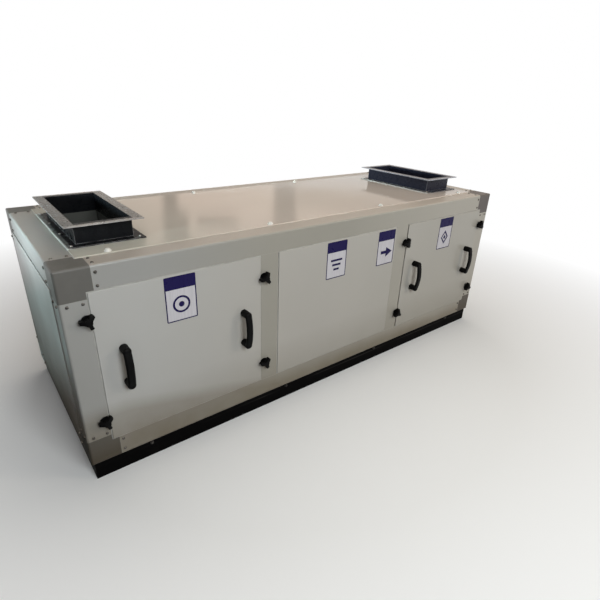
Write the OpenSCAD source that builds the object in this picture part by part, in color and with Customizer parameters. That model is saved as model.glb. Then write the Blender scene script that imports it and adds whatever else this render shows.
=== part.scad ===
// Horizontal air handling unit on a channel base, in millimetres.
// +X runs along the casing, the access doors face -Y and +Z is up.
// The origin is on the floor, under the middle of the casing.

/* [Casing] */
// Width of the opening for each access door
door_w = 660; // [500:10:800]
// Width of the opening for the middle panel
middle_w = 740; // [500:10:1000]
// Height of the panel openings
panel_h = 600; // [450:10:800]
// Width of the opening for each end panel
end_w = 760; // [700:10:1000]

/* [Frame] */
// Face width of the rails, posts and mullions
rail_w = 85; // [75:1:110]
// Wall of the hollow rails, posts and mullions
rail_wall = 3; // [2:0.5:5]
// Radius of the casing's outer edges
edge_r = 8; // [6:1:14]
// Width of the fins that the panels seat on
fin_w = 25; // [18:1:35]
// Thickness of the fins
fin_t = 4; // [3:0.5:6]
// Gap where a mullion is notched over a rail's fin
notch_gap = 0.5; // [0.3:0.1:2]
// Length of a corner block's spigot inside a rail
spigot_l = 50; // [30:1:80]
// Gap all round a spigot
spigot_gap = 0.5; // [0.2:0.1:2]

/* [Panels] */
// Thickness of the insulated panels
panel_t = 50; // [30:1:60]
// How far the panels stand out from the frame
panel_proud = 3; // [1:0.5:6]
// Gap between a panel and the frame
panel_gap = 3; // [1.5:0.5:5]
// Gap between the right door and the right post, where it was pushed across
tight_gap = 1; // [0.5:0.5:1.5]
// Radius of the panels' outer edges
panel_edge_r = 2; // [1:0.5:4]

/* [Duct collars] */
// Inside length of a collar along the casing
collar_w = 195; // [120:5:260]
// Inside length of a collar across the casing
collar_d = 470; // [300:10:560]
// Height of a collar above the roof
collar_h = 76; // [50:1:150]
// Sheet thickness of a collar's walls
collar_wall = 3; // [2:0.5:5]
// Width of a collar's flanges outside its walls
flange_w = 35; // [28:1:45]
// Thickness of a collar's flanges
flange_t = 4; // [3:0.5:8]
// Diameter of the flange bolt holes
flange_hole_d = 9; // [7:0.5:12]
// Bolt holes along each long side of a flange
holes_long = 4; // [2:1:6]
// Bolt holes along each short side of a flange
holes_short = 3; // [2:1:4]
// Middle of the left collar from the casing's left end
left_collar_in = 223; // [210:1:400]
// Middle of the right collar from the casing's right end
right_collar_in = 243; // [210:1:400]
// Middle of both collars from the casing's front face
collar_back = 455; // [440:1:520]

/* [Door handles] */
// Length of a handle
handle_l = 169; // [150:1:220]
// Width of a handle's grip
grip_w = 29; // [22:1:36]
// Thickness of the grip
grip_t = 14; // [12:1:18]
// Height of a handle above the door, at the middle of its grip
handle_h = 54; // [46:1:70]
// Radius of the bowed grip's middle line
bow_r = 240; // [200:5:400]
// How far the round feet stand out at the sides and ends of the grip
foot_lip = 1; // [0.5:0.1:3]
// Radius of a foot's domed end
dome_r = 9; // [4:1:11]
// Middle of a handle from the side of the door opening
handle_in = 87; // [60:1:140]

/* [Clamp knobs] */
// Reach of a knob's three arms
knob_r = 28; // [24:1:36]
// Width of each arm
arm_w = 13; // [11:1:20]
// Radius at the corners of an arm's end
arm_r = 4; // [2:0.5:6]
// Radius of the hub between the arms
hub_r = 12; // [11:1:15]
// Height of the head
head_t = 21; // [14:1:26]
// Radius of the head's crowned top
crown_r = 70; // [60:1:120]
// Radius of the skirt that clamps the door's edge
skirt_r = 19; // [18:1:24]
// Thickness of the skirt
skirt_t = 4; // [3:0.5:8]
// Radius of the neck between the skirt and the head
neck_r = 10; // [8:0.5:11]
// Length of the neck
neck_l = 4; // [3:1:10]
// Radius of the stud in the frame
stud_r = 5; // [4:0.5:6]
// Middle of a knob from the side of the door opening, on the frame
knob_out = 12; // [10:1:14]
// Middle of a knob from the top or bottom of the door opening
knob_in = 96; // [60:1:160]

/* [Base] */
// Height of the base channels
base_h = 76; // [50:1:120]
// Width of the channels' flanges
channel_w = 45; // [40:1:60]
// Thickness of the channels
channel_t = 5; // [3:0.5:8]
// How far the base stands in from the casing's faces
base_inset = 10; // [0:1:25]
// Number of cross members
cross_count = 3; // [1:2:5]

/* [Hidden] */
$fn = 48;
// Overlap that carries a cut past a face or a rib into its wall
bite = 1;
casing_l = 2 * door_w + middle_w + 4 * rail_w;
casing_d = end_w + 2 * rail_w;
casing_h = panel_h + 2 * rail_w;
roof_z = base_h + casing_h + panel_proud;
// Depth from the frame's face to the fins
seat = panel_t - panel_proud;
// The rails and posts end here, where the fins meet at a corner
arm_end = rail_w + fin_w;
hollow_w = rail_w - 2 * rail_wall;
hollow_r = max(edge_r - rail_wall, bite);
mullion_x = (middle_w + rail_w) / 2;
door_x = mullion_x + (rail_w + door_w) / 2;
right_door_shift = panel_gap - tight_gap;
collar_out_w = collar_w + 2 * collar_wall;
collar_out_d = collar_d + 2 * collar_wall;
base_l = casing_l - 2 * base_inset;
base_d = casing_d - 2 * base_inset;
// A handle's feet stand this far from its middle, where the bowed grip ends inside them
foot_d = grip_w + 2 * foot_lip;
foot_x = (handle_l - foot_d) / 2;
bow_angle = asin(foot_x / bow_r);
bow_y = handle_h - grip_t / 2 - bow_r;
foot_h = bow_y + (bow_r + grip_t / 2) * cos(bow_angle) + foot_lip;
// Turn of each knob's arms: top left, bottom left, top right, bottom right
left_knob_turns = [50, 48, 67, 50];
right_knob_turns = [62, 87, 75, 95];

coat = [0.80, 0.79, 0.76];
corner_grey = [0.45, 0.44, 0.42];
roof_coat = [0.76, 0.73, 0.69];
duct_black = [0.12, 0.12, 0.14];
base_black = [0.08, 0.08, 0.08];
plastic_black = [0.06, 0.06, 0.06];

FRAME_RAILS = [
    "front_top_rail", "front_bottom_rail", "rear_top_rail", "rear_bottom_rail",
    "left_top_rail", "left_bottom_rail", "right_top_rail", "right_bottom_rail"
];
POSTS = ["front_left_post", "front_right_post", "rear_left_post", "rear_right_post"];
MULLIONS = ["front_left_mullion", "front_right_mullion", "rear_left_mullion", "rear_right_mullion"];
CORNERS = [
    "top_front_left_corner", "top_front_right_corner", "top_rear_left_corner", "top_rear_right_corner",
    "bottom_front_left_corner", "bottom_front_right_corner",
    "bottom_rear_left_corner", "bottom_rear_right_corner"
];
PANELS = [
    "left_door", "middle_panel", "right_door", "rear_left_panel", "rear_middle_panel", "rear_right_panel",
    "left_end_panel", "right_end_panel", "roof_panel", "floor_panel"
];
FITTINGS = [
    "left_collar", "right_collar", "left_door_handles", "right_door_handles",
    "left_door_knobs", "right_door_knobs"
];
BASE = ["base_front_rail", "base_rear_rail", "base_left_rail", "base_right_rail", "base_cross_members"];

// Turns a shape so that its X, Y and Z become Y, Z and X
module cycle() {
    rotate([90, 0, 90]) children();
}

// Places a shape at a corner of the casing, with its axes pointing inwards
module at_corner(side_x, side_y, side_z) {
    translate([side_x * casing_l / 2, side_y * casing_d / 2, base_h + (side_z > 0 ? casing_h : 0)])
        mirror([max(side_x, 0), 0, 0])
            mirror([0, max(side_y, 0), 0])
                mirror([0, 0, max(side_z, 0)])
                    children();
}

// Square with its corner at the origin, rounded there
module corner_square(w, r) {
    translate([r, 0]) square([w - r, w]);
    translate([0, r]) square([w, w - r]);
    translate([r, r]) circle(r);
}

// Rectangle across X with its outer side on Y = 0, where both corners are rounded
module eased_edge(w, t, r) {
    translate([-w / 2, r]) square([w, t - r]);
    translate([-w / 2 + r, 0]) square([w - 2 * r, t]);
    for (side = [-1, 1]) translate([side * (w / 2 - r), r]) circle(r);
}

// Section of the edge extrusion: a hollow square with a seat fin for each of its two panels
module rail_section() {
    difference() {
        corner_square(rail_w, edge_r);
        translate([rail_wall, rail_wall]) corner_square(hollow_w, hollow_r);
    }
    translate([rail_w - rail_wall, seat]) square([fin_w + rail_wall, fin_t]);
    translate([seat, rail_w - rail_wall]) square([fin_t, fin_w + rail_wall]);
}

// Rail or post from one corner block to the next, along Z
module edge_bar(span) {
    color(coat) translate([0, 0, arm_end]) linear_extrude(span - 2 * arm_end) rail_section();
}

module rail_along(side_y, side_z) {
    at_corner(-1, side_y, side_z) cycle() edge_bar(casing_l);
}

module rail_across(side_x, side_z) {
    at_corner(side_x, -1, side_z) cycle() cycle() edge_bar(casing_d);
}

module post(side_x, side_y) {
    at_corner(side_x, side_y, -1) edge_bar(casing_h);
}

// Upright between two bays, with a fin on each side, notched over the fins of the rails
module mullion(side_x, side_y) {
    notch_l = fin_w + notch_gap;
    notch_t = fin_t + 2 * notch_gap;
    color(coat) translate([side_x * mullion_x, 0, base_h + rail_w])
        mirror([0, max(side_y, 0), 0]) translate([0, -casing_d / 2, 0]) {
            difference() {
                translate([-rail_w / 2, 0, 0]) cube([rail_w, rail_w, panel_h]);
                translate([-hollow_w / 2, rail_wall, -bite]) cube([hollow_w, hollow_w, panel_h + 2 * bite]);
                for (low = [-bite, panel_h - notch_l])
                    translate([-rail_w / 2 - bite, seat - notch_gap, low])
                        cube([rail_w + 2 * bite, notch_t, notch_l + bite]);
            }
            for (side = [0, 1])
                mirror([side, 0, 0]) translate([hollow_w / 2, seat, notch_l])
                    cube([fin_w + rail_wall, fin_t, panel_h - 2 * notch_l]);
        }
}

// One arm of a corner block along Z, with its spigot and the seat at its foot
module corner_arm() {
    spigot_w = hollow_w - 2 * spigot_gap;
    spigot_in = rail_wall + spigot_gap;
    translate([spigot_in, spigot_in, arm_end - bite])
        linear_extrude(spigot_l + bite) corner_square(spigot_w, hollow_r);
    translate([rail_w - bite, rail_w - bite, seat]) cube([fin_w + bite, fin_w + bite, fin_t]);
}

// Three-way block with its outer edges rounded to meet the rails
module corner_block(side_x, side_y, side_z) {
    color(corner_grey) at_corner(side_x, side_y, side_z) {
        intersection() {
            union() {
                cube([arm_end, rail_w, rail_w]);
                cube([rail_w, arm_end, rail_w]);
                cube([rail_w, rail_w, arm_end]);
            }
            linear_extrude(arm_end) corner_square(arm_end, edge_r);
            cycle() linear_extrude(arm_end) corner_square(arm_end, edge_r);
            cycle() cycle() linear_extrude(arm_end) corner_square(arm_end, edge_r);
        }
        corner_arm();
        cycle() corner_arm();
        cycle() cycle() corner_arm();
    }
}

// Panel upright across X with its outer face on Y = 0 and that face's edges rounded
module panel(opening_w, opening_h, t) {
    w = opening_w - 2 * panel_gap;
    h = opening_h - 2 * panel_gap;
    intersection() {
        linear_extrude(h, center = true) eased_edge(w, t, panel_edge_r);
        rotate([0, 90, 0]) linear_extrude(w, center = true) eased_edge(h, t, panel_edge_r);
    }
}

module front_panel(x, opening_w) {
    color(coat) translate([x, -casing_d / 2 - panel_proud, base_h + casing_h / 2])
        panel(opening_w, panel_h, panel_t);
}

module rear_panel(x, opening_w) {
    mirror([0, 1, 0]) front_panel(x, opening_w);
}

module end_panel(side_x) {
    color(coat) translate([side_x * (casing_l / 2 + panel_proud), 0, base_h + casing_h / 2])
        rotate([0, 0, side_x * 90]) panel(end_w, panel_h, panel_t);
}

module at_collar(side_x) {
    from_end = side_x < 0 ? left_collar_in : right_collar_in;
    translate([side_x * (casing_l / 2 - from_end), collar_back - casing_d / 2, roof_z]) children();
}

// Roof panel, cut through under both duct collars
module roof_panel() {
    color(roof_coat) difference() {
        translate([0, 0, roof_z])
            rotate([-90, 0, 0]) panel(casing_l - 2 * rail_w, end_w, panel_t);
        for (side = [-1, 1])
            at_collar(side) translate([-collar_w / 2, -collar_d / 2, -panel_t - bite])
                cube([collar_w, collar_d, panel_t + 2 * bite]);
    }
}

// Floor panel, flush with the frame so that it lies on the base
module floor_panel() {
    color(coat) translate([0, 0, base_h])
        rotate([90, 0, 0]) panel(casing_l - 2 * rail_w, end_w, seat);
}

// Bolt holes all round a flange, on the middle line of its width
module flange_holes() {
    hole_x = (collar_out_w + flange_w) / 2;
    hole_y = (collar_out_d + flange_w) / 2;
    step_long = 2 * hole_y / (holes_long - 1);
    step_short = 2 * hole_x / (holes_short - 1);
    for (side = [-1, 1]) {
        for (i = [0 : holes_long - 1])
            translate([side * hole_x, -hole_y + i * step_long, -bite])
                cylinder(d = flange_hole_d, h = flange_t + 2 * bite);
        for (i = [1 : 1 : holes_short - 2])
            translate([-hole_x + i * step_short, side * hole_y, -bite])
                cylinder(d = flange_hole_d, h = flange_t + 2 * bite);
    }
}

// Sheet metal duct stub with a flange on the roof and a drilled flange on top
module collar(side_x) {
    flange_out_w = collar_out_w + 2 * flange_w;
    flange_out_d = collar_out_d + 2 * flange_w;
    color(duct_black) at_collar(side_x) difference() {
        union() {
            translate([-collar_out_w / 2, -collar_out_d / 2, 0])
                cube([collar_out_w, collar_out_d, collar_h]);
            for (low = [0, collar_h - flange_t])
                translate([-flange_out_w / 2, -flange_out_d / 2, low])
                    cube([flange_out_w, flange_out_d, flange_t]);
        }
        translate([-collar_w / 2, -collar_d / 2, -bite]) cube([collar_w, collar_d, collar_h + 2 * bite]);
        translate([0, 0, collar_h - flange_t]) flange_holes();
    }
}

// Section of a handle's grip: a flat bar with round sides, its thickness along X
module grip_section() {
    square([grip_t, grip_w - grip_t], center = true);
    for (side = [-1, 1]) translate([0, side * (grip_w - grip_t) / 2]) circle(d = grip_t);
}

// Half section of a handle's foot, with the rounding of its domed end
module foot_section() {
    square([foot_d / 2, foot_h - dome_r]);
    square([foot_d / 2 - dome_r, foot_h]);
    intersection() {
        translate([foot_d / 2 - dome_r, foot_h - dome_r]) circle(dome_r);
        square([foot_d / 2, foot_h]);
    }
}

// Moulded bridge handle along X on a door face at Y = 0: a bowed grip between two round feet with domed ends
module bridge_handle() {
    translate([0, bow_y, 0]) rotate(90 - bow_angle)
        rotate_extrude(angle = 2 * bow_angle, $fn = 144) translate([bow_r, 0]) grip_section();
    for (side = [-1, 1])
        translate([side * foot_x, 0, 0]) rotate([-90, 0, 0]) rotate_extrude() foot_section();
}

module door_handles(x) {
    color(plastic_black) translate([x, -casing_d / 2 - panel_proud, base_h + casing_h / 2])
        for (side = [-1, 1]) translate([side * (door_w / 2 - handle_in), 0, 0])
            rotate([180, -90, 0]) bridge_handle();
}

// Outline of a knob's head: a hub with three arms, the first along X
module knob_outline() {
    circle(hub_r);
    for (turn = [0, 120, 240]) rotate(turn + 90) translate([0, -knob_r]) eased_edge(arm_w, knob_r, arm_r);
}

// Clamp knob on a frame face at Y = 0: its skirt overlaps the door's edge
module knob(turn) {
    skirt_top = panel_proud + skirt_t;
    head_low = skirt_top + neck_l;
    rotate([90, 0, 0]) {
        rotate_extrude() polygon([
            [0, 0], [stud_r, 0], [stud_r, panel_proud], [skirt_r, panel_proud], [skirt_r, skirt_top],
            [neck_r, skirt_top], [neck_r, head_low + bite], [0, head_low + bite]
        ]);
        intersection() {
            translate([0, 0, head_low]) rotate(turn) linear_extrude(head_t) knob_outline();
            translate([0, 0, head_low + head_t - crown_r]) sphere(crown_r, $fn = 96);
        }
    }
}

module door_knobs(x, turns) {
    color(plastic_black) translate([x, -casing_d / 2, base_h + casing_h / 2])
        for (i = [0 : 3]) {
            side_x = i < 2 ? -1 : 1;
            side_z = i % 2 == 0 ? 1 : -1;
            translate([side_x * (door_w / 2 + knob_out), 0, side_z * (panel_h / 2 - knob_in)])
                knob(turns[i]);
        }
}

// Section of a base channel: its web stands on X = 0 and its flanges point to +X
module channel_section() {
    difference() {
        square([channel_w, base_h]);
        translate([channel_t, channel_t]) square([channel_w, base_h - 2 * channel_t]);
    }
}

// Channel along Y with mitred ends, its web on X = 0
module mitred_channel(span) {
    intersection() {
        rotate([90, 0, 0]) linear_extrude(span, center = true) channel_section();
        linear_extrude(base_h) polygon([
            [0, -span / 2], [0, span / 2],
            [channel_w, span / 2 - channel_w], [channel_w, channel_w - span / 2]
        ]);
    }
}

module base_long_rail(side_y) {
    color(base_black) rotate([0, 0, -side_y * 90]) translate([-base_d / 2, 0, 0]) mitred_channel(base_l);
}

module base_end_rail(side_x) {
    color(base_black) rotate([0, 0, side_x > 0 ? 180 : 0])
        translate([-base_l / 2, 0, 0]) mitred_channel(base_d);
}

// Cross members between the flanges of the long rails, at an even pitch
module base_cross_members() {
    pitch = base_l / (cross_count + 1);
    reach = (cross_count - 1) / 2;
    color(base_black) for (i = [-reach : reach])
        translate([i * pitch - channel_w / 2, 0, 0])
            rotate([90, 0, 0]) linear_extrude(base_d - 2 * channel_w, center = true) channel_section();
}

rail_along(-1, 1);  // front_top_rail
rail_along(-1, -1);  // front_bottom_rail
rail_along(1, 1);  // rear_top_rail
rail_along(1, -1);  // rear_bottom_rail
rail_across(-1, 1);  // left_top_rail
rail_across(-1, -1);  // left_bottom_rail
rail_across(1, 1);  // right_top_rail
rail_across(1, -1);  // right_bottom_rail
post(-1, -1);  // front_left_post
post(1, -1);  // front_right_post
post(-1, 1);  // rear_left_post
post(1, 1);  // rear_right_post
mullion(-1, -1);  // front_left_mullion
mullion(1, -1);  // front_right_mullion
mullion(-1, 1);  // rear_left_mullion
mullion(1, 1);  // rear_right_mullion
corner_block(-1, -1, 1);  // top_front_left_corner
corner_block(1, -1, 1);  // top_front_right_corner
corner_block(-1, 1, 1);  // top_rear_left_corner
corner_block(1, 1, 1);  // top_rear_right_corner
corner_block(-1, -1, -1);  // bottom_front_left_corner
corner_block(1, -1, -1);  // bottom_front_right_corner
corner_block(-1, 1, -1);  // bottom_rear_left_corner
corner_block(1, 1, -1);  // bottom_rear_right_corner
front_panel(-door_x, door_w);  // left_door
front_panel(0, middle_w);  // middle_panel
front_panel(door_x + right_door_shift, door_w);  // right_door
rear_panel(-door_x, door_w);  // rear_left_panel
rear_panel(0, middle_w);  // rear_middle_panel
rear_panel(door_x, door_w);  // rear_right_panel
end_panel(-1);  // left_end_panel
end_panel(1);  // right_end_panel
roof_panel();
floor_panel();
collar(-1);  // left_collar
collar(1);  // right_collar
door_handles(-door_x);  // left_door_handles
door_handles(door_x + right_door_shift);  // right_door_handles
door_knobs(-door_x, left_knob_turns);  // left_door_knobs
door_knobs(door_x, right_knob_turns);  // right_door_knobs
base_long_rail(-1);  // base_front_rail
base_long_rail(1);  // base_rear_rail
base_end_rail(-1);  // base_left_rail
base_end_rail(1);  // base_right_rail
base_cross_members();
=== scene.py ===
"""Finishes, fasteners, stickers and studio of an air handling unit, laid out as a Blender add-on."""

import random
from itertools import permutations, product
from math import radians

import bpy
from bpy.props import FloatProperty, FloatVectorProperty, PointerProperty
from bpy.types import Operator, Panel, PropertyGroup
from mathutils import Euler, Matrix, Vector


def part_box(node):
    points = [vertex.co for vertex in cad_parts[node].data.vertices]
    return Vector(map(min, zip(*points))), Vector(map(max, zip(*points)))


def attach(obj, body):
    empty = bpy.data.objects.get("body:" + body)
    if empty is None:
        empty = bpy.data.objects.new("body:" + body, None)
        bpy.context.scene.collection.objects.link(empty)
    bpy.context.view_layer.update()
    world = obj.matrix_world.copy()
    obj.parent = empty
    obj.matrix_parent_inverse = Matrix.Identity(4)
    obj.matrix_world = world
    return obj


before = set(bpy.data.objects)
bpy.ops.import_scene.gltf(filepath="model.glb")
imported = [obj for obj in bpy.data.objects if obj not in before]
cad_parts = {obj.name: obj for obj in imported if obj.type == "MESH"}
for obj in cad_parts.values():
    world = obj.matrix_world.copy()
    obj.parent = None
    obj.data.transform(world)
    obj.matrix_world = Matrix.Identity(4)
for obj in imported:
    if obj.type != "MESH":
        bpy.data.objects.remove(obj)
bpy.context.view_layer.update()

bl_info = {
    "name": "Air handling unit",
    "version": (1, 0, 0),
    "blender": (4, 5, 0),
    "location": "View3D > Sidebar > Air unit",
    "description": "Dresses the packed air handling unit and sets its studio",
    "category": "Object",
}

BODY = "root"

COLLARS = ("left_collar", "right_collar")
FLANGE_W = 0.035
FLANGE_T = 0.004
# Thickness of the roof's skin, and width over which a painted line fades
SKIN_T = 0.001
HAIR = 0.0002
# Tones of painted light: a dark floor's reflection on the panels' foot, warm light from above on upper faces,
# and shade on the left end
FOOT_SHADE_TONE = (0.17, 0.14, 0.095)
TOP_LIGHT_TONE = (0.50, 0.42, 0.35)
END_SHADE_TONE = (0.035, 0.034, 0.031)
# Heights between which the painted shade of the left end and of the floor's reflection thin out, and the
# height of the line under which the floor's reflection darkens the panels, at its left and right ends
END_SHADE_FOOT, END_SHADE_TOP = 0.09, 0.56
FOOT_SHADE_LOW, FOOT_SHADE_HIGH = 0.10, 0.34
SHADE_LINE_LEFT, SHADE_LINE_RIGHT = 0.295, 0.13
# Stretches of the casing over which the sheets' tones change
TONE_CHANGES = ((-0.95, -0.40), (0.0, 0.75))
# Lower and upper edge of the pale line along the base: a painted highlight on the channels' lit edge
HIGHLIGHT_LOW, HIGHLIGHT_HIGH = 0.0495, 0.054
# Width of the coated edge round the roof's dark core (painted shade), of a collar's pale lip line (painted
# highlight) and of its pale corner patch
ROOF_EDGE = 0.020
LIP_HIGHLIGHT = 0.00425
PALE_CORNER_X, PALE_CORNER_Y = 0.027, 0.019
UP = Vector((0, 0, 1))
FRONT = Vector((0, -1, 0))
BACK = Vector((0, 1, 0))
LEFT = Vector((-1, 0, 0))
RIGHT = Vector((1, 0, 0))
# Panels round the casing, and the directions that they face
WALLS = {
    "left_door": FRONT, "middle_panel": FRONT, "right_door": FRONT,
    "rear_left_panel": BACK, "rear_middle_panel": BACK, "rear_right_panel": BACK,
    "left_end_panel": LEFT, "right_end_panel": RIGHT,
}


def nodes_ending(*endings):
    """Names of the CAD nodes whose names end in one of these words."""
    return [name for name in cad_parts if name.endswith(endings)]


def joint_box(names):
    """Lowest and highest corner of several CAD nodes together."""
    boxes = [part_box(name) for name in names]
    low = Vector([min(low[i] for low, high in boxes) for i in range(3)])
    high = Vector([max(high[i] for low, high in boxes) for i in range(3)])
    return low, high


CASING_LOW, CASING_HIGH = joint_box(nodes_ending("_corner"))
ROOF_LOW, ROOF_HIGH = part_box("roof_panel")


# Sizes and colours


def length(name, description, default, low, high):
    """A length in metres that the user may change."""
    return FloatProperty(name=name, description=description, default=default, min=low, max=high,
                         subtype="DISTANCE", unit="LENGTH", precision=4)


def colour(name, description, default):
    """A linear colour that the user may change."""
    return FloatVectorProperty(name=name, description=description, default=default, min=0, max=1,
                               subtype="COLOR", size=3)


def power(name, description, default):
    """A lamp's power that the user may change."""
    return FloatProperty(name=name, description=description, default=default, min=0, max=2000, unit="POWER")


class CasingColours(PropertyGroup):
    """Paint colours of the casing, the collars and the base."""

    panels: colour("Panels", "Coil coating of the doors and panels", (0.480, 0.475, 0.456))
    middle_panels: colour("Panels, middle", "The same coating in the middle", (0.462, 0.440, 0.402))
    right_panels: colour("Panels, right", "The same coating towards the right end", (0.428, 0.407, 0.362))
    rails: colour("Rails", "Coating of the rails, posts and mullions", (0.352, 0.349, 0.334))
    middle_rails: colour("Rails, middle", "The same coating in the middle", (0.350, 0.332, 0.288))
    right_rails: colour("Rails, right", "The same coating towards the right end", (0.450, 0.424, 0.372))
    corners: colour("Corner blocks", "Moulded corner blocks", (0.145, 0.140, 0.129))
    right_corners: colour("Corner blocks, right", "Moulded blocks of the right end", (0.122, 0.107, 0.099))
    # The roof's warm beige stands partly for warm light from overhead: partly painted light, partly the
    # coating's own tone
    roof: colour("Roof", "Glossy coating of the roof panel", (0.645, 0.560, 0.490))
    # Round the left collar the roof is darker and greener for the collar's mirrored image: painted reflection
    left_roof: colour("Roof, left", "The same coating round the left collar", (0.530, 0.500, 0.430))
    left_duct: colour("Left collar", "Semi-gloss paint of the left duct collar", (0.0062, 0.0066, 0.0078))
    # The right collar's blue tint stands for cool light from the left: painted light
    right_duct: colour("Right collar", "Semi-gloss paint of the right duct collar", (0.0185, 0.0200, 0.0330))
    left_flange: colour("Left flange", "Rubbed steel on the left collar's flanges", (0.245, 0.232, 0.222))
    # The right flanges' blue tint stands for cool mirrored light: painted reflection
    right_flange: colour("Right flange", "Rubbed steel on the right collar's flanges", (0.39, 0.41, 0.47))
    base: colour("Base", "Satin paint of the base channels", (0.0018, 0.0017, 0.0018))
    fittings: colour("Fittings", "Nylon of the handles and knobs", (0.0018, 0.0018, 0.0020))
    seals: colour("Seals", "Foam strips in the gaps round the panels", (0.52, 0.51, 0.48))
    film: colour("Sticker film", "Unprinted film of the stickers", (0.62, 0.60, 0.635))
    ink: colour("Sticker ink", "Print of the stickers", (0.014, 0.010, 0.070))


class FastenerSizes(PropertyGroup):
    """Sizes and places of screws, caps and bolts."""

    screw_d: length("Screw head", "Diameter of a pan head", 0.0108, 0.006, 0.02)
    screw_h: length("Screw head height", "Height of a pan head", 0.0042, 0.002, 0.008)
    screw_from_end: length("From rail end", "Screw's distance from the corner block", 0.013, 0.008, 0.05)
    screw_near: length("Near screw", "First screw's distance from the casing's edge", 0.024, 0.01, 0.04)
    screw_far: length("Far screw", "Second screw's distance from the casing's edge", 0.071, 0.04, 0.08)
    cap_d: length("Roof cap", "Diameter of a roof screw's cap", 0.025, 0.015, 0.04)
    cap_h: length("Roof cap height", "Height of a roof screw's cap", 0.009, 0.004, 0.02)
    cap_in: length("Cap from edge", "Cap's distance from the roof panel's edge", 0.015, 0.013, 0.06)
    collar_screw_d: length("Collar screw head", "Diameter of a screw head on a collar", 0.0088, 0.006, 0.02)
    bolt_w: length("Base bolt", "Width of a bolt's hexagon across its corners", 0.0115, 0.008, 0.03)
    bolt_h: length("Base bolt height", "Height of a bolt's head", 0.0055, 0.003, 0.008)
    bolt_down: length("Bolt from top", "Base bolt's distance below the casing", 0.011, 0.008, 0.06)


class StickerSizes(PropertyGroup):
    """Sizes and places of the printed stickers."""

    width: length("Width", "Width of a sticker", 0.121, 0.05, 0.3)
    height: length("Height", "Height of a sticker", 0.178, 0.05, 0.3)
    corner: length("Corners", "Radius of a sticker's corners", 0.005, 0.001, 0.02)
    border: length("Border", "Width of the printed border", 0.0045, 0.001, 0.02)
    band: length("Band", "Height of the printed band", 0.046, 0.01, 0.1)
    film: length("Film", "Thickness of the film", 0.0003, 0.0001, 0.001)
    up: length("Height above floor", "Middle of the stickers above the floor", 0.663, 0.2, 0.8)


class SealSizes(PropertyGroup):
    """Sizes of the foam strips in the gaps round the panels."""

    width: length("Width", "Width of a strip", 0.0029, 0.001, 0.006)
    depth: length("Depth", "Depth of a strip", 0.008, 0.003, 0.03)
    sunk: length("Sunk", "How far a strip lies under the frame's face", 0.0005, 0.0003, 0.005)


class StudioSettings(PropertyGroup):
    """Camera, lamps and floor."""

    camera_at: FloatVectorProperty(
        name="Camera", description="Place of the camera",
        subtype="TRANSLATION", unit="LENGTH", size=3, default=(-1.3843, -1.8786, 1.3544))
    camera_turn: FloatVectorProperty(
        name="Camera angles", description="Tilt, roll and heading of the camera",
        subtype="EULER", unit="ROTATION", size=3,
        default=(radians(65.031), radians(-2.024), radians(-37.907)))
    lens: FloatProperty(
        name="Lens", description="Focal length on a 36 mm wide sensor, in millimetres",
        default=26.648, min=10, max=200)
    top_power: power("Top lamp", "Power of the soft lamp over the roof", 44)
    side_power: power("Side lamp", "Power of the narrow lamp beside the left end", 5.6)
    fill_power: power("Fill lamp", "Power of the soft cool lamp in front of the doors", 90)
    key_power: power("Key lamp", "Power of the soft warm lamp in front and to the right", 70)
    rear_power: power("Rear lamp", "Power of the low lamp behind the casing", 60)
    ambient: FloatProperty(
        name="Ambient", description="Strength of the even light from all round", default=0.12, min=0, max=2)
    floor: colour("Floor", "Colour of the floor as it is seen", (0.90, 0.90, 0.89))
    left_floor: colour("Left floor", "Colour of the floor that the left end mirrors", (0.39, 0.51, 0.50))
    bounce: colour("Floor bounce", "Colour of the light that the floor throws back", (0.11, 0.105, 0.095))
    ceiling: colour("Ceiling", "Colour that shiny surfaces mirror from overhead", (1.0, 0.83, 0.70))
    beams: colour("Beams", "Colour of upright beams that shiny surfaces mirror", (0.20, 0.18, 0.16))
    dark_wall: colour("Dark wall", "Colour of a shaded wall that shiny surfaces mirror", (0.02, 0.05, 0.04))
    haze: colour("Haze", "Colour of dim patches that shiny surfaces mirror", (0.58, 0.50, 0.43))
    left_wall: colour("Left wall", "Colour of the left wall that shiny surfaces mirror", (0.46, 0.41, 0.36))
    far_wall: colour("Far wall", "Colour of the far wall that shiny surfaces mirror", (0.80, 0.67, 0.57))


# Material helpers


def new_material(name, specular=0.5):
    """A node material, its tree and its Principled shader with a specular level."""
    material = bpy.data.materials.new(name)
    material.use_nodes = True
    shader = material.node_tree.nodes["Principled BSDF"]
    shader.inputs["Specular IOR Level"].default_value = specular
    return material, material.node_tree, shader


def plug(tree, socket, value):
    """Links an input to another node's output, or sets a constant on it."""
    if isinstance(value, bpy.types.NodeSocket):
        tree.links.new(value, socket)
    else:
        socket.default_value = value


def put(tree, kind, inputs=None, **settings):
    """A new node with its settings and its inputs, each a constant or a socket."""
    node = tree.nodes.new(kind)
    for key, value in settings.items():
        setattr(node, key, value)
    for socket, value in (inputs or {}).items():
        plug(tree, node.inputs[socket], value)
    return node


def object_coordinates(tree, stretch=(1, 1, 1)):
    """Object coordinates in metres, stretched along the axes."""
    coords = put(tree, "ShaderNodeTexCoord").outputs["Object"]
    return put(tree, "ShaderNodeMapping", {"Vector": coords, "Scale": stretch}).outputs["Vector"]


def parts_of(tree, vector):
    """The X, Y and Z of a vector."""
    return put(tree, "ShaderNodeSeparateXYZ", {0: vector}).outputs


def coordinate(tree, axis):
    """X, Y or Z of the shaded point."""
    return parts_of(tree, object_coordinates(tree))[axis]


def noise(tree, scale, detail=2.0, roughness=0.5, stretch=(1, 1, 1)):
    """Value of a noise on coordinates that are stretched along the axes."""
    inputs = {"Scale": scale, "Detail": detail, "Roughness": roughness}
    inputs["Vector"] = object_coordinates(tree, stretch)
    return put(tree, "ShaderNodeTexNoise", inputs).outputs["Fac"]


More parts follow.
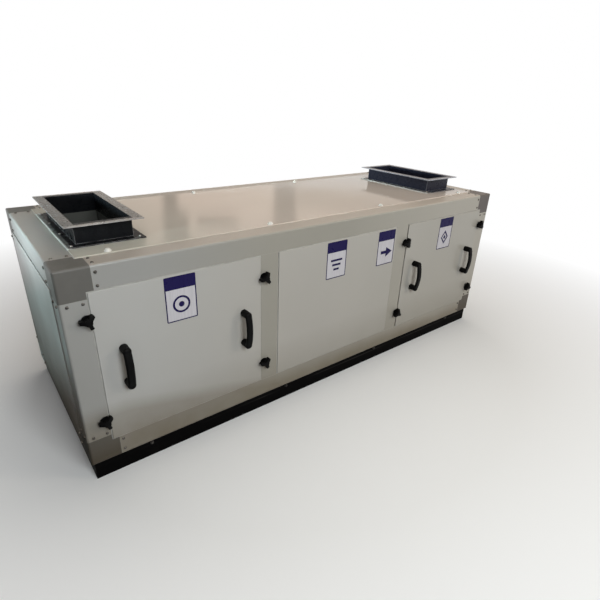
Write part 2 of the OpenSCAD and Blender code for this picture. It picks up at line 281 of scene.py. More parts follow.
def remap(tree, value, low, high, to_low=0, to_high=1):
    """A value carried from one range to another, and kept inside it."""
    inputs = {"Value": value, "From Min": low, "From Max": high, "To Min": to_low, "To Max": to_high}
    return put(tree, "ShaderNodeMapRange", inputs).outputs["Result"]


def past(tree, value, limit, soft):
    """1 past a limit and 0 short of it, with a soft edge."""
    return remap(tree, value, limit - soft, limit + soft)


def short_of(tree, value, limit, soft):
    """1 short of a limit and 0 past it, with a soft edge."""
    return remap(tree, value, limit - soft, limit + soft, 1, 0)


def between(tree, value, low, high, soft):
    """1 between two limits and 0 outside them, with soft edges."""
    return times(tree, past(tree, value, low, soft), short_of(tree, value, high, soft))


def blend(tree, factor, first, second):
    """A colour between two, each a constant or a socket."""
    node = put(tree, "ShaderNodeMix", {0: factor}, data_type="RGBA")
    for socket, tone in ((node.inputs[6], first), (node.inputs[7], second)):
        plug(tree, socket, tone if isinstance(tone, bpy.types.NodeSocket) else (*tone, 1))
    return node.outputs[2]


def tinted(tree, first, second):
    """One colour multiplied by another."""
    inputs = {0: 1.0, 6: first, 7: second}
    return put(tree, "ShaderNodeMix", inputs, data_type="RGBA", blend_type="MULTIPLY").outputs[2]


def maths(tree, operation, first, second):
    """Two values put through a Math node."""
    return put(tree, "ShaderNodeMath", {0: first, 1: second}, operation=operation).outputs[0]


def vector_maths(tree, operation, *vectors):
    """Outputs of a Vector Math node that vectors are put through."""
    return put(tree, "ShaderNodeVectorMath", dict(enumerate(vectors)), operation=operation).outputs


def times(tree, *values):
    """Product of several values."""
    result = values[0]
    for value in values[1:]:
        result = maths(tree, "MULTIPLY", result, value)
    return result


def either(tree, factor, first, second):
    """One shader or another, by a factor."""
    return put(tree, "ShaderNodeMixShader", {0: factor, 1: first, 2: second}).outputs[0]


def feed(tree, shader, **inputs):
    """Links or sets the shader's inputs, such as Base Color for base_color."""
    for name, value in inputs.items():
        plug(tree, shader.inputs[name.replace("_", " ").title()], value)


def bump(tree, height, distance, under=None):
    """Normal of a height in metres, laid over another normal."""
    inputs = {"Strength": 1.0, "Distance": distance, "Height": height}
    if under is not None:
        inputs["Normal"] = under
    return put(tree, "ShaderNodeBump", inputs).outputs["Normal"]


def worn_edges(tree, radius, patchy):
    """1 along the piece's edges and 0 on its flats, broken up by a noise."""
    rounded = put(tree, "ShaderNodeBevel", {"Radius": radius}, samples=6).outputs["Normal"]
    flat = put(tree, "ShaderNodeNewGeometry").outputs["Normal"]
    cosine = vector_maths(tree, "DOT_PRODUCT", rounded, flat)["Value"]
    return times(tree, remap(tree, cosine, 0.985, 0.86), remap(tree, patchy, 0.38, 0.62, 0.15, 1))


def reach_from(tree, middle):
    """Distances of the shaded point from a place, along X, Y and Z and without a sign."""
    away = vector_maths(tree, "SUBTRACT", object_coordinates(tree), middle)[0]
    return parts_of(tree, vector_maths(tree, "ABSOLUTE", away)[0])


def upright_shaft(tree, middle, half_x, half_y, soft=0.0005):
    """1 inside an upright rectangular shaft and 0 outside it."""
    reach = reach_from(tree, middle)
    return times(tree, short_of(tree, reach["X"], half_x - soft, soft),
                 short_of(tree, reach["Y"], half_y - soft, soft))


def shade(tone, factor):
    """A colour made darker or lighter."""
    return tuple(min(1.0, channel * factor) for channel in tone)


# Materials


def end_shade_share(tree):
    """Share of painted shade on the outer face of the left end, heavier towards its foot."""
    outermost = short_of(tree, coordinate(tree, "X"), CASING_LOW.x + 2 * HAIR, HAIR)
    low_down = remap(tree, coordinate(tree, "Z"), END_SHADE_FOOT, END_SHADE_TOP, 0.85, 0)
    patchy = remap(tree, noise(tree, 6, 4, 0.55), 0.3, 0.7, 0.8, 1)
    return times(tree, outermost, low_down, patchy)


def facing_up(tree, most):
    """A share that is full on level upper faces and 0 on upright ones."""
    upward = parts_of(tree, put(tree, "ShaderNodeNewGeometry").outputs["Normal"])["Z"]
    return remap(tree, upward, 0.75, 0.98, 0, most)


def sheet_coat(name, tones, roughness, wave, stretch, gloss, bright=1.22, specular=0.5, top_light_share=0.0):
    """Coil-coated sheet in three tones along the casing, with marks, waves and lighter edges (partly wear,
    partly painted highlight), and painted light: a dark floor's reflection towards the foot, shade on the
    left end and warm light on upper faces.
    """
    material, tree, shader = new_material(name, specular)
    along, height = coordinate(tree, "X"), coordinate(tree, "Z")
    tone_here = tones[0]
    for (start, end), tone in zip(TONE_CHANGES, tones[1:]):
        tone_here = blend(tree, remap(tree, along, start, end), tone_here, tone)
    mottle = remap(tree, noise(tree, 1.7, 4), 0.35, 0.65)
    coat = tinted(tree, tone_here, blend(tree, mottle, (0.955, 0.955, 0.955), (1, 1, 1)))
    # Painted reflection of a dark floor: darker and browner towards the foot and under a line that rises to
    # the left, broken up by a noise
    shade_line = remap(tree, along, -1.05, -0.35, SHADE_LINE_LEFT, SHADE_LINE_RIGHT)
    under_shade_line = remap(tree, maths(tree, "SUBTRACT", height, shade_line), -0.03, 0.03, 0.42, 0)
    dust = maths(tree, "ADD", under_shade_line, remap(tree, height, FOOT_SHADE_LOW, FOOT_SHADE_HIGH, 0.42, 0))
    dust = times(tree, dust, remap(tree, noise(tree, 4.5, 5, 0.55), 0.35, 0.70, 0.80, 1.1))
    coat = blend(tree, dust, coat, FOOT_SHADE_TONE)
    # A warm tone on level upper faces stands for warm light from above: painted light
    coat = blend(tree, facing_up(tree, top_light_share), coat, TOP_LIGHT_TONE)
    # Painted shade on the left end's outer face, darker towards its foot
    end_shade = end_shade_share(tree)
    coat = blend(tree, end_shade, coat, END_SHADE_TONE)
    # Lighter edges: partly wear, partly a painted highlight along the rounded edges
    rubbed = worn_edges(tree, 0.0025, noise(tree, 26, 4, 0.6, stretch))
    coat = blend(tree, rubbed, coat, shade(tones[1], bright))
    marks = remap(tree, noise(tree, 7, 5, 0.62, stretch), 0.35, 0.7, roughness - 0.04, roughness + 0.06)
    dulled = maths(tree, "ADD", marks, remap(tree, end_shade, 0, 0.6, 0, 0.5))
    waves = bump(tree, noise(tree, 1.6, 1), wave)
    peel = bump(tree, noise(tree, 420, 1), 0.00003, waves)
    feed(tree, shader, base_color=coat, roughness=dulled, normal=peel, coat_weight=gloss, coat_roughness=0.06)
    return material


def roof_coat(left_tone, tone):
    """Glossy coated sheet whose insulated core, below the skin and where the duct openings are cut, is
    painted dark grey as painted shade.
    """
    material = sheet_coat("roof_coat", (left_tone, tone, tone), roughness=0.060, wave=0.0010,
                          stretch=(0.25, 1, 1), gloss=0.0, bright=1.1, specular=0.2)
    tree = material.node_tree
    colour_in = tree.nodes["Principled BSDF"].inputs["Base Color"]
    coat = colour_in.links[0].from_socket
    half = (ROOF_HIGH - ROOF_LOW) / 2
    inside = upright_shaft(tree, (ROOF_LOW + ROOF_HIGH) / 2, half.x - ROOF_EDGE, half.y - ROOF_EDGE)
    shaded_core = times(tree, inside, short_of(tree, coordinate(tree, "Z"), ROOF_HIGH.z - SKIN_T, HAIR))
    for name in COLLARS:
        low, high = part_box(name)
        bore = (high - low) / 2
        rim = FLANGE_W - 0.001
        cut = upright_shaft(tree, (low + high) / 2, bore.x - rim, bore.y - rim)
        shaded_core = maths(tree, "MAXIMUM", shaded_core, cut)
    # Painted shade: the core under the skin and inside the duct openings is dark grey
    tree.links.new(blend(tree, shaded_core, coat, (0.085, 0.086, 0.078)), colour_in)
    return material


def corner_plastic(tone, right_tone):
    """Moulded corner blocks: fine spark texture with paler rubbed patches."""
    material, tree, shader = new_material("corner_plastic", 0.3)
    rubbed = remap(tree, noise(tree, 14, 5, 0.6), 0.45, 0.75)
    tone_here = blend(tree, remap(tree, coordinate(tree, "X"), -0.1, 0.1), tone, right_tone)
    coat = tinted(tree, tone_here, blend(tree, rubbed, (0.9, 0.9, 0.9), (1, 1, 1)))
    low_down = remap(tree, coordinate(tree, "Z"), 0.10, 0.30, 0.85, 0)
    coat = blend(tree, low_down, coat, (0.062, 0.048, 0.030))
    # Painted shade on the left end's outer face, darker towards its foot
    coat = blend(tree, end_shade_share(tree), coat, (0.020, 0.019, 0.017))
    edge = worn_edges(tree, 0.003, noise(tree, 45, 3))
    coat = blend(tree, edge, coat, shade(tone, 1.45))
    spark = bump(tree, noise(tree, 900, 2), 0.00012)
    feed(tree, shader, base_color=coat, roughness=remap(tree, rubbed, 0, 1, 0.46, 0.38), normal=spark)
    return material


def base_paint(tone):
    """Satin black brush paint with patches of dust, a painted highlight along the channels' lit edge and worn
    edges.
    """
    material, tree, shader = new_material("base_paint", 0.02)
    brushed = (0.05, 0.05, 1)
    dust = remap(tree, noise(tree, 11, 6, 0.65), 0.55, 0.9, 0, 0.03)
    coat = blend(tree, dust, tone, (0.16, 0.14, 0.115))
    height = coordinate(tree, "Z")
    # A pale line along the channels: painted highlight on their lit edge
    over, under = past(tree, height, HIGHLIGHT_LOW, 0.0015), short_of(tree, height, HIGHLIGHT_HIGH, 0.002)
    patchy = remap(tree, noise(tree, 60, 3, stretch=brushed), 0.42, 0.60, 0, 0.22)
    coat = blend(tree, times(tree, over, under, patchy), coat, (0.12, 0.11, 0.105))
    edge = worn_edges(tree, 0.002, noise(tree, 30, 4, 0.6))
    coat = blend(tree, edge, coat, (0.030, 0.028, 0.027))
    rubbed = remap(tree, noise(tree, 23, 4, 0.6), 0.3, 0.7, 0.48, 0.62)
    strokes = bump(tree, noise(tree, 240, 2, stretch=brushed), 0.00015)
    feed(tree, shader, base_color=coat, roughness=rubbed, normal=strokes)
    return material


def duct_paint(collar, tone, bare, rim_x, rim_y, end_bright, foot_rim, specular):
    """Semi-gloss black sheet metal whose outer edges and flange rims are rubbed bare, with brighter short
    rims and a pale lip line on the lower flange as painted highlights.
    """
    material, tree, shader = new_material(collar + "_paint", specular)
    low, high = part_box(collar)
    half = (high - low) / 2
    reach = reach_from(tree, (low + high) / 2)
    height = coordinate(tree, "Z")
    flange = past(tree, height, high.z - FLANGE_T - 1.5 * HAIR, HAIR)
    sides = past(tree, reach["X"], half.x - rim_x, 0.001)
    ends = past(tree, reach["Y"], half.y - rim_y, 0.001)
    flange = times(tree, flange, maths(tree, "MAXIMUM", sides, ends))
    worn = remap(tree, noise(tree, 5, 3, 0.5), 0.36, 0.62, 0.55, 1)
    edge = worn_edges(tree, 0.0026, noise(tree, 20, 3))
    bore = upright_shaft(tree, (low + high) / 2, half.x - FLANGE_W - 0.002, half.y - FLANGE_W - 0.002)
    edge = times(tree, edge, remap(tree, bore, 0, 1, 1, 0))
    rubbed = maths(tree, "MAXIMUM", times(tree, flange, worn), edge)
    dust = remap(tree, noise(tree, 14, 6, 0.65), 0.5, 0.9, 0, 0.03)
    coat = blend(tree, dust, tone, (0.20, 0.19, 0.17))
    # Rims on the short sides are made brighter by end_bright: painted highlight
    coat = blend(tree, rubbed, coat, blend(tree, ends, bare, shade(bare, end_bright)))
    # A grey strip along the lower flange's left edge
    lower = short_of(tree, height, low.z + FLANGE_T + 1.5 * HAIR, HAIR)
    across = coordinate(tree, "X")
    grey_strip = remap(tree, across, low.x + foot_rim - 0.002, low.x + foot_rim + 0.002, 0.85, 0)
    coat = blend(tree, times(tree, lower, grey_strip), coat, (0.17, 0.165, 0.155))
    # A pale line along the lower flange's left lip: painted highlight; a pale patch at its back-left corner
    lip = short_of(tree, across, low.x + LIP_HIGHLIGHT, 0.00075)
    corner = times(tree, short_of(tree, across, low.x + PALE_CORNER_X, 0.001),
                   past(tree, coordinate(tree, "Y"), high.y - PALE_CORNER_Y, 0.001))
    lip = maths(tree, "MAXIMUM", lip, corner)
    coat = blend(tree, times(tree, lower, lip), coat, (0.55, 0.54, 0.51))
    coat = blend(tree, edge, coat, (0.34, 0.34, 0.345))
    scuffs = remap(tree, noise(tree, 40, 5, 0.65), 0.3, 0.7, 0.22, 0.36)
    waves = bump(tree, noise(tree, 12, 1), 0.0004)
    peel = bump(tree, noise(tree, 260, 2), 0.00006, waves)
    metal = remap(tree, rubbed, 0, 1, 0, 0.7)
    feed(tree, shader, base_color=coat, roughness=scuffs, metallic=metal, normal=peel)
    return material


def black_nylon(tone):
    """Moulded black nylon with a fine grain and polished touch marks."""
    material, tree, shader = new_material("black_nylon", 0.07)
    touched = remap(tree, noise(tree, 35, 4, 0.6), 0.4, 0.7)
    coat = blend(tree, touched, tone, shade(tone, 1.6))
    edge = worn_edges(tree, 0.002, noise(tree, 80, 3))
    coat = blend(tree, edge, coat, shade(tone, 3.5))
    grain = bump(tree, noise(tree, 1400, 2), 0.0001)
    feed(tree, shader, base_color=coat, roughness=remap(tree, touched, 0, 1, 0.50, 0.36), normal=grain)
    return material


def zinc_plate(name, dull, bright):
    """Zinc plating with a cloudy passivation."""
    material, tree, shader = new_material(name)
    cloud = remap(tree, noise(tree, 90, 3), 0.35, 0.65)
    coat = blend(tree, cloud, dull, bright)
    feed(tree, shader, base_color=coat, roughness=remap(tree, cloud, 0, 1, 0.42, 0.28), metallic=1.0)
    return material


def cap_plastic():
    """White moulded caps, slightly yellowed in patches."""
    material, tree, shader = new_material("cap_plastic")
    aged = remap(tree, noise(tree, 60, 3), 0.4, 0.7)
    coat = blend(tree, aged, (0.80, 0.79, 0.76), (0.70, 0.67, 0.60))
    feed(tree, shader, base_color=coat, roughness=remap(tree, aged, 0, 1, 0.28, 0.42))
    return material


def foam_strip(tone):
    """Pale foam rubber with fine cells and dirt in patches."""
    material, tree, shader = new_material("foam_strip")
    dirt = remap(tree, noise(tree, 18, 4, 0.6), 0.35, 0.7)
    coat = blend(tree, dirt, tone, shade(tone, 0.6))
    cells = bump(tree, noise(tree, 1600, 2), 0.0002)
    feed(tree, shader, base_color=coat, roughness=remap(tree, dirt, 0, 1, 0.75, 0.9), normal=cells)
    return material


def printed_film(name, tone, roughness):
    """Vinyl film or the ink on it: faint streaks and a slight quilt from the panel below."""
    material, tree, shader = new_material(name, 0.08)
    streak = remap(tree, noise(tree, 8, 3, stretch=(30, 1, 1)), 0.35, 0.65)
    coat = blend(tree, streak, shade(tone, 0.94), shade(tone, 1.05))
    rubbed = remap(tree, noise(tree, 45, 4), 0.3, 0.7, roughness - 0.06, roughness + 0.1)
    quilt = bump(tree, noise(tree, 120, 2), 0.00005)
    feed(tree, shader, base_color=coat, roughness=rubbed, normal=quilt)
    return material


# Modelling helpers


def nothing_selected():
    """Leaves object mode on with nothing selected."""
    if bpy.context.object is not None and bpy.context.object.mode != "OBJECT":
        bpy.ops.object.mode_set(mode="OBJECT")
    bpy.ops.object.select_all(action="DESELECT")


def only(*pieces):
    """Selects these pieces alone and makes the first one active."""
    nothing_selected()
    for piece in pieces:
        piece.select_set(True)
    bpy.context.view_layer.objects.active = pieces[0]


def begin(name, add, **sizes):
    """A new primitive, alone in the selection, with its place in its mesh."""
    nothing_selected()
    add(**sizes)
    piece = bpy.context.object
    piece.name = name
    piece.data.name = name
    bpy.ops.object.transform_apply(location=True, rotation=True, scale=True)
    return piece


def pick(piece, kind, wanted):
    """Enters edit mode with the faces or edges selected whose points all pass a test."""
    bpy.ops.object.mode_set(mode="EDIT")
    bpy.ops.mesh.select_mode(type=kind)
    bpy.ops.mesh.select_all(action="DESELECT")
    bpy.ops.object.mode_set(mode="OBJECT")
    mesh = piece.data
    for part in mesh.polygons if kind == "FACE" else mesh.edges:
        part.select = all(wanted(mesh.vertices[i].co) for i in part.vertices)
    bpy.ops.object.mode_set(mode="EDIT")


def edit_all():
    """Enters edit mode with every face selected."""
    bpy.ops.object.mode_set(mode="EDIT")
    bpy.ops.mesh.select_mode(type="FACE")
    bpy.ops.mesh.select_all(action="SELECT")


def end_edit():
    """Back to object mode."""
    bpy.ops.object.mode_set(mode="OBJECT")


def bevel_above(piece, height, offset, segments):
    """Bevels the edges that lie above a height."""
    pick(piece, "EDGE", lambda point: point.z > height)
    bpy.ops.mesh.bevel(offset=offset, segments=segments, affect="EDGES")
    end_edit()


def apply_modifier(piece, name, kind, **settings):
    """Adds a modifier to a piece and applies it."""
    only(piece)
    modifier = piece.modifiers.new(name, kind)
    for key, value in settings.items():
        setattr(modifier, key, value)
    bpy.ops.object.modifier_apply(modifier=modifier.name)


def copy_of(model, move):
    """A copy with its own mesh, moved there."""
    copy = model.copy()
    copy.data = model.data.copy()
    copy.data.transform(move)
    bpy.context.collection.objects.link(copy)
    return copy


def facing(outward):
    """Turn that carries +Z to this direction, with +Y upwards on a wall."""
    return UP.rotation_difference(Vector(outward)).to_matrix().to_4x4()


def join(pieces):
    """Several pieces as one."""
    only(*pieces)
    bpy.ops.object.join()
    return bpy.context.object


def dress(piece, name):
    """Names a finished piece, smooths it and fixes it to the casing."""
    piece.name = name
    piece.data.name = name
    only(piece)
    bpy.ops.object.shade_smooth_by_angle(angle=radians(35))
    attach(piece, BODY)


def scatter(name, model, places, material, seed):
    """Copies of a model at (point, outward) places, each turned at random, joined as one piece."""
    draw = random.Random(seed)
    model.data.materials.append(material)
    copies = []
    for point, outward in places:
        turn = Matrix.Rotation(draw.uniform(0, radians(360)), 4, "Z")
        copies.append(copy_of(model, Matrix.Translation(point) @ facing(outward) @ turn))
    bpy.data.objects.remove(model)
    dress(join(copies), name)


def paint(names, material):
    """Gives CAD nodes a material."""
    for name in names:
        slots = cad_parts[name].data.materials
        slots.clear()
        slots.append(material)


# Operators


class AHU_OT_paint_casing(Operator):
    """Paints the panels, rails, corner blocks and roof"""

    bl_idname = "ahu.paint_casing"
    bl_label = "Paint casing"

    def execute(self, context):
        colours = context.scene.ahu_colours
        panels = (colours.panels, colours.middle_panels, colours.right_panels)
        paint([*WALLS, "floor_panel"], sheet_coat(
            "panel_coat", panels, roughness=0.34, wave=0.0016, stretch=(1, 1, 0.25), gloss=0.12))
        # Stretch of the drawn marks, and share of the warm tone painted on the upper faces for light from
        # above
        along = {"x": ((0.04, 1, 1), 0.55), "y": ((1, 0.04, 1), 0.25), "z": ((1, 1, 0.04), 0)}
        rails = (colours.rails, colours.middle_rails, colours.right_rails)
        coats = {
            axis: sheet_coat("rail_coat_" + axis, rails, roughness=0.36, wave=0.0004, stretch=stretch,
                             gloss=0.06, specular=0.36, top_light_share=top_light_share)
            for axis, (stretch, top_light_share) in along.items()
        }
        paint(nodes_ending("_post", "_mullion"), coats["z"])
        for side, axis in (("left", "y"), ("right", "y"), ("front", "x"), ("rear", "x")):
            paint([side + "_top_rail", side + "_bottom_rail"], coats[axis])
        paint(nodes_ending("_corner"), corner_plastic(colours.corners, colours.right_corners))
        paint(["roof_panel"], roof_coat(colours.left_roof, colours.roof))
        return {"FINISHED"}


class AHU_OT_paint_black(Operator):
    """Paints the collars, the base, the handles and the knobs"""

    bl_idname = "ahu.paint_black"
    bl_label = "Paint black pieces"

    def execute(self, context):
        colours = context.scene.ahu_colours
        paint(["left_collar"], duct_paint(
            "left_collar", colours.left_duct, colours.left_flange,
            rim_x=0.036, rim_y=0.017, end_bright=1.8, foot_rim=0.016, specular=0.045))
        paint(["right_collar"], duct_paint(
            "right_collar", colours.right_duct, colours.right_flange,
            rim_x=0.017, rim_y=0.015, end_bright=1.0, foot_rim=0.038, specular=0.14))
        base_nodes = [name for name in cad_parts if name.startswith("base_")]
        paint(base_nodes, base_paint(colours.base))
        paint(nodes_ending("_handles", "_knobs"), black_nylon(colours.fittings))
        return {"FINISHED"}


def pan_screw(diameter, height):
    """A pan-head screw standing on the origin, with a cross recess."""
    radius = diameter / 2
    screw = begin("pan_screw", bpy.ops.mesh.primitive_cylinder_add,
                  vertices=20, radius=radius, depth=height, location=(0, 0, height / 2))
    bevel_above(screw, 0.9 * height, 0.8 * height, 4)
    arm = 0.2 * radius
    cutter = begin("cross_recess", bpy.ops.mesh.primitive_cube_add,
                   size=1, scale=(arm, arm, height), location=(0, 0, height))
    bpy.ops.object.mode_set(mode="EDIT")
    bpy.ops.mesh.select_mode(type="FACE")
    bpy.ops.mesh.select_all(action="DESELECT")
    end_edit()
    for face in cutter.data.polygons:
        face.select = abs(face.normal.z) < 0.5
    bpy.ops.object.mode_set(mode="EDIT")
    bpy.ops.mesh.extrude_faces_move(TRANSFORM_OT_shrink_fatten={"value": 0.42 * radius})
    end_edit()
    apply_modifier(screw, "recess", "BOOLEAN", operation="DIFFERENCE", solver="EXACT", object=cutter)
    bpy.data.objects.remove(cutter)
    return screw


class AHU_OT_rail_screws(Operator):
    """Puts two screws on each face of each rail end"""

    bl_idname = "ahu.rail_screws"
    bl_label = "Rail screws"

    def execute(self, context):
        sizes = context.scene.ahu_fasteners
        arm_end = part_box("front_top_rail")[0].x - CASING_LOW.x
        middle = (CASING_LOW + CASING_HIGH) / 2
        half = (CASING_HIGH - CASING_LOW) / 2
        places = []
        sides = (-1, 1)
        from_edges = (sizes.screw_near, sizes.screw_far)
        for (along, face, across), face_side, edge_side, end, from_edge in product(
                permutations(range(3)), sides, sides, sides, from_edges):
            outward = Vector((0, 0, 0))
            outward[face] = face_side
            if outward.z < 0:
                continue
            point = middle.copy()
            point[face] += face_side * half[face]
            point[across] += edge_side * (half[across] - from_edge)
            point[along] += end * (half[along] - arm_end - sizes.screw_from_end)
            places.append((point, outward))
        steel = zinc_plate("dull_zinc", (0.075, 0.07, 0.065), (0.16, 0.155, 0.145))
        scatter("rail_screws", pan_screw(sizes.screw_d, sizes.screw_h), places, steel, seed=3)
        return {"FINISHED"}


class AHU_OT_collar_screws(Operator):
    """Puts screws along the lower flange of each duct collar"""

    bl_idname = "ahu.collar_screws"
    bl_label = "Collar screws"

    def execute(self, context):
        sizes = context.scene.ahu_fasteners
        places = []
        for name in COLLARS:
            low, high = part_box(name)
            inset = FLANGE_W / 2
            z = low.z + FLANGE_T
            left, right = low.x + inset, high.x - inset
            front, back = low.y + inset, high.y - inset
            for step in range(4):
                y = front + (back - front) * step / 3
                places += [(Vector((left, y, z)), UP), (Vector((right, y, z)), UP)]
        steel = zinc_plate("bright_zinc", (0.28, 0.275, 0.265), (0.42, 0.41, 0.39))
        screw = pan_screw(sizes.collar_screw_d, sizes.screw_h)
        scatter("collar_screws", screw, places, steel, seed=4)
        return {"FINISHED"}


class AHU_OT_roof_caps(Operator):
    """Puts a row of capped screws along the front and the rear of the roof"""

    bl_idname = "ahu.roof_caps"
    bl_label = "Roof caps"

    # Places of the caps from the middle of the casing
    REACHES = (-1.004, -0.341, 0.341, 1.016)

    def execute(self, context):
        sizes = context.scene.ahu_fasteners
        radius = sizes.cap_d / 2
        rim = 0.25 * sizes.cap_h
        cap = begin("roof_cap", bpy.ops.mesh.primitive_cylinder_add,
                    vertices=28, radius=radius, depth=rim, location=(0, 0, rim / 2))
        pick(cap, "FACE", lambda point: point.z > 0.9 * rim)
        bpy.ops.mesh.inset(thickness=0.22 * radius)
        bpy.ops.mesh.extrude_region_move(TRANSFORM_OT_translate={"value": (0, 0, sizes.cap_h - rim)})
        bpy.ops.transform.resize(value=(0.86, 0.86, 1))
        end_edit()
        bevel_above(cap, 0.9 * sizes.cap_h, 0.32 * sizes.cap_h, 3)
        places = []
        for y in (ROOF_LOW.y + sizes.cap_in, ROOF_HIGH.y - sizes.cap_in):
            places += [(Vector((x, y, ROOF_HIGH.z)), UP) for x in self.REACHES]
        scatter("roof_caps", cap, places, cap_plastic(), seed=5)
        return {"FINISHED"}


class AHU_OT_base_bolts(Operator):
    """Puts hexagon bolts with washers along the front and the rear of the base"""

    bl_idname = "ahu.base_bolts"
    bl_label = "Base bolts"

    # Places of the bolts from the middle of the base
    REACHES = (-0.972, -0.307, 0.307, 0.972)
    WASHER_T = 0.002

    def execute(self, context):
        sizes = context.scene.ahu_fasteners
        washer = begin("washer", bpy.ops.mesh.primitive_cylinder_add, vertices=24,
                       radius=0.62 * sizes.bolt_w, depth=self.WASHER_T, location=(0, 0, self.WASHER_T / 2))
        bevel_above(washer, 0.5 * self.WASHER_T, 0.2 * self.WASHER_T, 2)
        top = self.WASHER_T + sizes.bolt_h
        head = begin("hexagon", bpy.ops.mesh.primitive_cylinder_add, vertices=6, radius=sizes.bolt_w / 2,
                     depth=sizes.bolt_h, location=(0, 0, self.WASHER_T + sizes.bolt_h / 2))
        pick(head, "FACE", lambda point: point.z > 0.9 * top)
        bpy.ops.mesh.inset(thickness=0.08 * sizes.bolt_w)
        bpy.ops.transform.translate(value=(0, 0, 0.08 * sizes.bolt_h))
        end_edit()
        bevel_above(head, 0.2 * top, 0.04 * sizes.bolt_w, 2)
        bolt = join([head, washer])
        z = CASING_LOW.z - sizes.bolt_down
        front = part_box("base_front_rail")[0].y
        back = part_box("base_rear_rail")[1].y
        places = [(Vector((x, front, z)), FRONT) for x in self.REACHES]
        places += [(Vector((x, back, z)), BACK) for x in self.REACHES]
        steel = zinc_plate("bolt_zinc", (0.035, 0.033, 0.031), (0.10, 0.095, 0.09))
        scatter("base_bolts", bolt, places, steel, seed=6)
        return {"FINISHED"}


class AHU_OT_panel_seals(Operator):
    """Lays foam strips in the gaps round the panels"""

    bl_idname = "ahu.panel_seals"
    bl_label = "Panel seals"

    def execute(self, context):
        sizes = context.scene.ahu_seals
        strips = []
        for panel, outward in (*WALLS.items(), ("roof_panel", UP)):
            low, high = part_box(panel)
            turn = facing(outward)
            middle = (low + high) / 2
            face = max(CASING_LOW.dot(outward), CASING_HIGH.dot(outward)) - sizes.sunk
            middle += outward * (face - middle.dot(outward))
            reach = turn.inverted() @ (high - low)
            strip = self.ring(abs(reach.x), abs(reach.y), sizes, shifted=panel == "right_door")
            strip.data.transform(Matrix.Translation(middle) @ turn)
            strips.append(strip)
        seal = join(strips)
        seal.data.materials.append(foam_strip(context.scene.ahu_colours.seals))
        dress(seal, "panel_seals")
        return {"FINISHED"}

    def ring(self, width, height, sizes, shifted):
        """A frame round a panel that faces +Z; a shifted panel squeezes its +X side and leaves -X open."""
        ring = begin("seal", bpy.ops.mesh.primitive_plane_add, size=1)
        edit_all()
        bpy.ops.transform.resize(value=(width + 2 * sizes.width, height + 2 * sizes.width, 1))
        bpy.ops.mesh.inset(thickness=sizes.width)
        bpy.ops.mesh.delete(type="FACE")
        bpy.ops.mesh.select_all(action="SELECT")
        bpy.ops.mesh.extrude_region_move(TRANSFORM_OT_translate={"value": (0, 0, -sizes.depth)})
        bpy.ops.mesh.select_all(action="SELECT")
        bpy.ops.mesh.normals_make_consistent(inside=False)
        end_edit()
        if shifted:
            pick(ring, "FACE", lambda point: point.x > (width + sizes.width) / 2)
            bpy.ops.transform.translate(value=(-0.7 * sizes.width, 0, 0))
            bpy.ops.mesh.select_all(action="SELECT")
            bpy.ops.mesh.bisect(plane_co=(-width / 2, 0, 0), plane_no=(1, 0, 0),
                                clear_inner=True, use_fill=True)
            end_edit()
        bevel_above(ring, -0.5 * sizes.depth, 0.25 * sizes.width, 2)
        return ring


def sticker_sheet(sizes, film, ink):
    """A rounded film sheet facing +Z, with a printed border and a printed band across its top."""
    half_w, half_h = sizes.width / 2, sizes.height / 2
    field_w, field_h = half_w - sizes.border, half_h - sizes.border
    band_low = field_h - sizes.band
    sheet = begin("sticker", bpy.ops.mesh.primitive_plane_add, size=1)
    bpy.ops.object.mode_set(mode="EDIT")
    bpy.ops.mesh.select_all(action="SELECT")
    bpy.ops.transform.resize(value=(sizes.width, sizes.height, 1))
    bpy.ops.mesh.bevel(offset=sizes.corner, segments=5, affect="VERTICES")
    bpy.ops.mesh.select_all(action="SELECT")
    bpy.ops.mesh.inset(thickness=sizes.border)
    bpy.ops.mesh.bisect(plane_co=(0, band_low, 0), plane_no=(0, 1, 0))
    end_edit()
    sheet.data.materials.append(film)
    sheet.data.materials.append(ink)
    for face in sheet.data.polygons:
        middle = face.center
        printed = abs(middle.x) > field_w or abs(middle.y) > field_h or middle.y > band_low
        face.material_index = 1 if printed else 0
    apply_modifier(sheet, "film", "SOLIDIFY", thickness=sizes.film, offset=1)
    return sheet


def flat_shape(vertices, radius, scale=(1, 1), place=(0, 0), turn=0.0, hole=0.0):
    """A flat printed shape: a polygon, with a hole left inside it where one is wanted."""
    shape = begin("print", bpy.ops.mesh.primitive_circle_add, vertices=vertices, radius=radius,
                  fill_type="NGON", rotation=(0, 0, turn))
    edit_all()
    if hole:
        bpy.ops.mesh.inset(thickness=radius - hole)
        bpy.ops.mesh.delete(type="FACE")
        bpy.ops.mesh.select_all(action="SELECT")
    bpy.ops.transform.resize(value=(*scale, 1))
    bpy.ops.transform.translate(value=(*place, 0))
    end_edit()
    return shape


def bar(width, height, place):
    """A flat printed bar."""
    return flat_shape(4, 0.5 ** 0.5, (width, height), place, radians(45))


def ring_motif():
    """A ring round a dot."""
    return [flat_shape(40, 0.034, hole=0.026), flat_shape(28, 0.011)]


def bars_motif():
    """Three bars that get shorter downwards."""
    return [bar(0.070 - 0.018 * i, 0.010, (0, 0.022 - 0.022 * i)) for i in range(3)]


def arrow_motif():
    """A broad arrow to the right."""
    return [bar(0.040, 0.016, (-0.014, 0)), flat_shape(3, 0.030, place=(0.017, 0), turn=radians(-90))]


def diamond_motif():
    """A hollow diamond with a filled one inside."""
    return [flat_shape(4, 0.040, (0.8, 1), hole=0.030), flat_shape(4, 0.014, (0.8, 1))]


